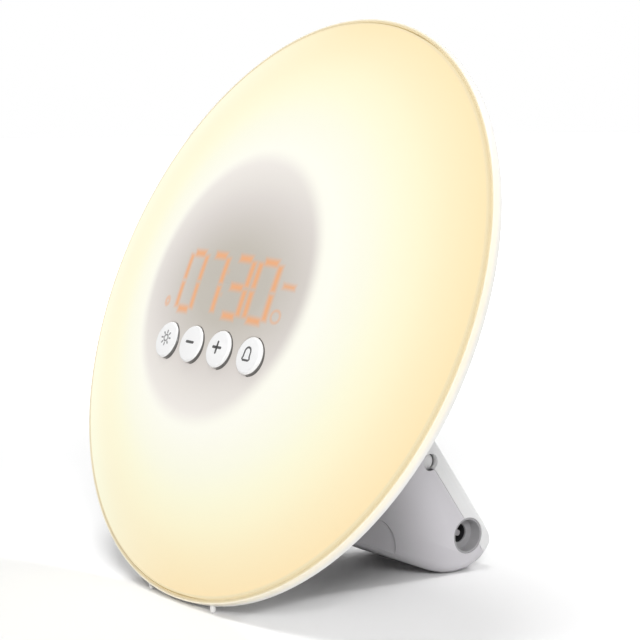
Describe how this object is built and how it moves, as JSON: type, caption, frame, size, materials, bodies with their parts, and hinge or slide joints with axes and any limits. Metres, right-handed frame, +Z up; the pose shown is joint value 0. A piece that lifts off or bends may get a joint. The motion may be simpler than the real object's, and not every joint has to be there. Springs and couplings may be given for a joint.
{
  "type": "sunrise alarm clock",
  "caption": "Round domed wake-up light with a clock display behind its face, a short row of round buttons, and a hollow wedge stand at the back that leans it on a table.",
  "frame": {"origin": "on the table, under the middle of the whole object", "axes": "+X to the viewer's right of the clock's face, +Y from the face to the stand's heel, +Z up"},
  "size_m": [0.19, 0.1098, 0.1776],
  "materials": {
    "translucent_cream": "translucent opal cream plastic, lit warm from behind, satin outside",
    "shell_white": "fine satin moulded plastic",
    "stand_grey": "fine satin moulded plastic, pale grey",
    "cover_white": "fine satin moulded plastic, white",
    "button_white": "smooth white plastic with a printed grey symbol",
    "reflector_white": "bright white reflecting plastic",
    "board_white": "white solder mask on a rigid board",
    "board_green": "green solder mask on a rigid board",
    "lamp_yellow": "yellow phosphor under clear resin",
    "black_plastic": "black moulded plastic",
    "carrier_grey": "dark grey light-tight plastic",
    "film_smoke": "grey diffusing film",
    "digit_amber": "amber light bars",
    "plug_ivory": "ivory connector plastic",
    "plunger_white": "white switch plastic",
    "capacitor_sleeve": "dark blue shrink sleeve",
    "ferrite": "dark grey ferrite",
    "ribbon_grey": "flat grey cable",
    "wire_red": "red insulated wire",
    "speaker_steel": "plain pressed steel",
    "cone_paper": "black treated paper",
    "nickel": "dull nickel plating",
    "foot_white": "soft white rubber",
    "pad_grey": "soft grey rubber",
    "screw_zinc": "zinc-plated steel"
  },
  "bodies": {
    "clock": {"light_diffuser": "translucent_cream", "back_shell": "shell_white", "stand_housing": "stand_grey", "stand_cover": "cover_white", "reflector": "reflector_white", "led_board": "board_white", "leds": "lamp_yellow", "display_carrier": "carrier_grey", "display_film": "film_smoke", "display_board": "board_green", "digit_module": "carrier_grey", "digit_segments": "digit_amber", "display_connector": "plug_ivory", "button_guide": "plunger_white", "switch_bodies": "black_plastic", "set_switch_body": "black_plastic", "set_switch_board": "board_green", "main_board": "board_green", "microcontroller": "black_plastic", "backup_capacitor": "capacitor_sleeve", "power_coil": "ferrite", "board_connectors": "plug_ivory", "ribbon_cable": "ribbon_grey", "speaker_basket": "black_plastic", "speaker_magnet": "speaker_steel", "speaker_cone": "cone_paper", "speaker_clamp": "speaker_steel", "dc_jack": "black_plastic", "dc_jack_pin": "nickel", "jack_collar": "stand_grey", "led_leads": "wire_red", "speaker_leads": "wire_red", "jack_leads": "wire_red", "front_feet": "foot_white", "heel_pad": "pad_grey", "dome_screws": "screw_zinc", "housing_screws": "screw_zinc", "cover_screws": "screw_zinc", "led_board_screws": "screw_zinc", "carrier_screws": "screw_zinc", "display_board_screws": "screw_zinc", "main_board_screws": "screw_zinc", "speaker_clamp_screws": "screw_zinc"},
    "light_button": {"light_button": "button_white", "light_switch_plunger": "plunger_white"},
    "minus_button": {"minus_button": "button_white", "minus_switch_plunger": "plunger_white"},
    "plus_button": {"plus_button": "button_white", "plus_switch_plunger": "plunger_white"},
    "alarm_button": {"alarm_button": "button_white", "alarm_switch_plunger": "plunger_white"},
    "set_button": {"set_button": "button_white", "set_switch_plunger": "plunger_white"}
  },
  "joints": [
    {"name": "light_press", "type": "slide", "parent": "clock", "child": "light_button", "axis": [0, 0.9272, -0.3746], "range_m": [0, 0.0008], "stiffness_N_per_m": 700},
    {"name": "minus_press", "type": "slide", "parent": "clock", "child": "minus_button", "axis": [0, 0.9272, -0.3746], "range_m": [0, 0.0008], "stiffness_N_per_m": 700},
    {"name": "plus_press", "type": "slide", "parent": "clock", "child": "plus_button", "axis": [0, 0.9272, -0.3746], "range_m": [0, 0.0008], "stiffness_N_per_m": 700},
    {"name": "alarm_press", "type": "slide", "parent": "clock", "child": "alarm_button", "axis": [0, 0.9272, -0.3746], "range_m": [0, 0.0008], "stiffness_N_per_m": 700},
    {"name": "set_press", "type": "slide", "parent": "clock", "child": "set_button", "axis": [-1, 0, 0], "range_m": [0, 0.0008], "stiffness_N_per_m": 700}
  ]
}
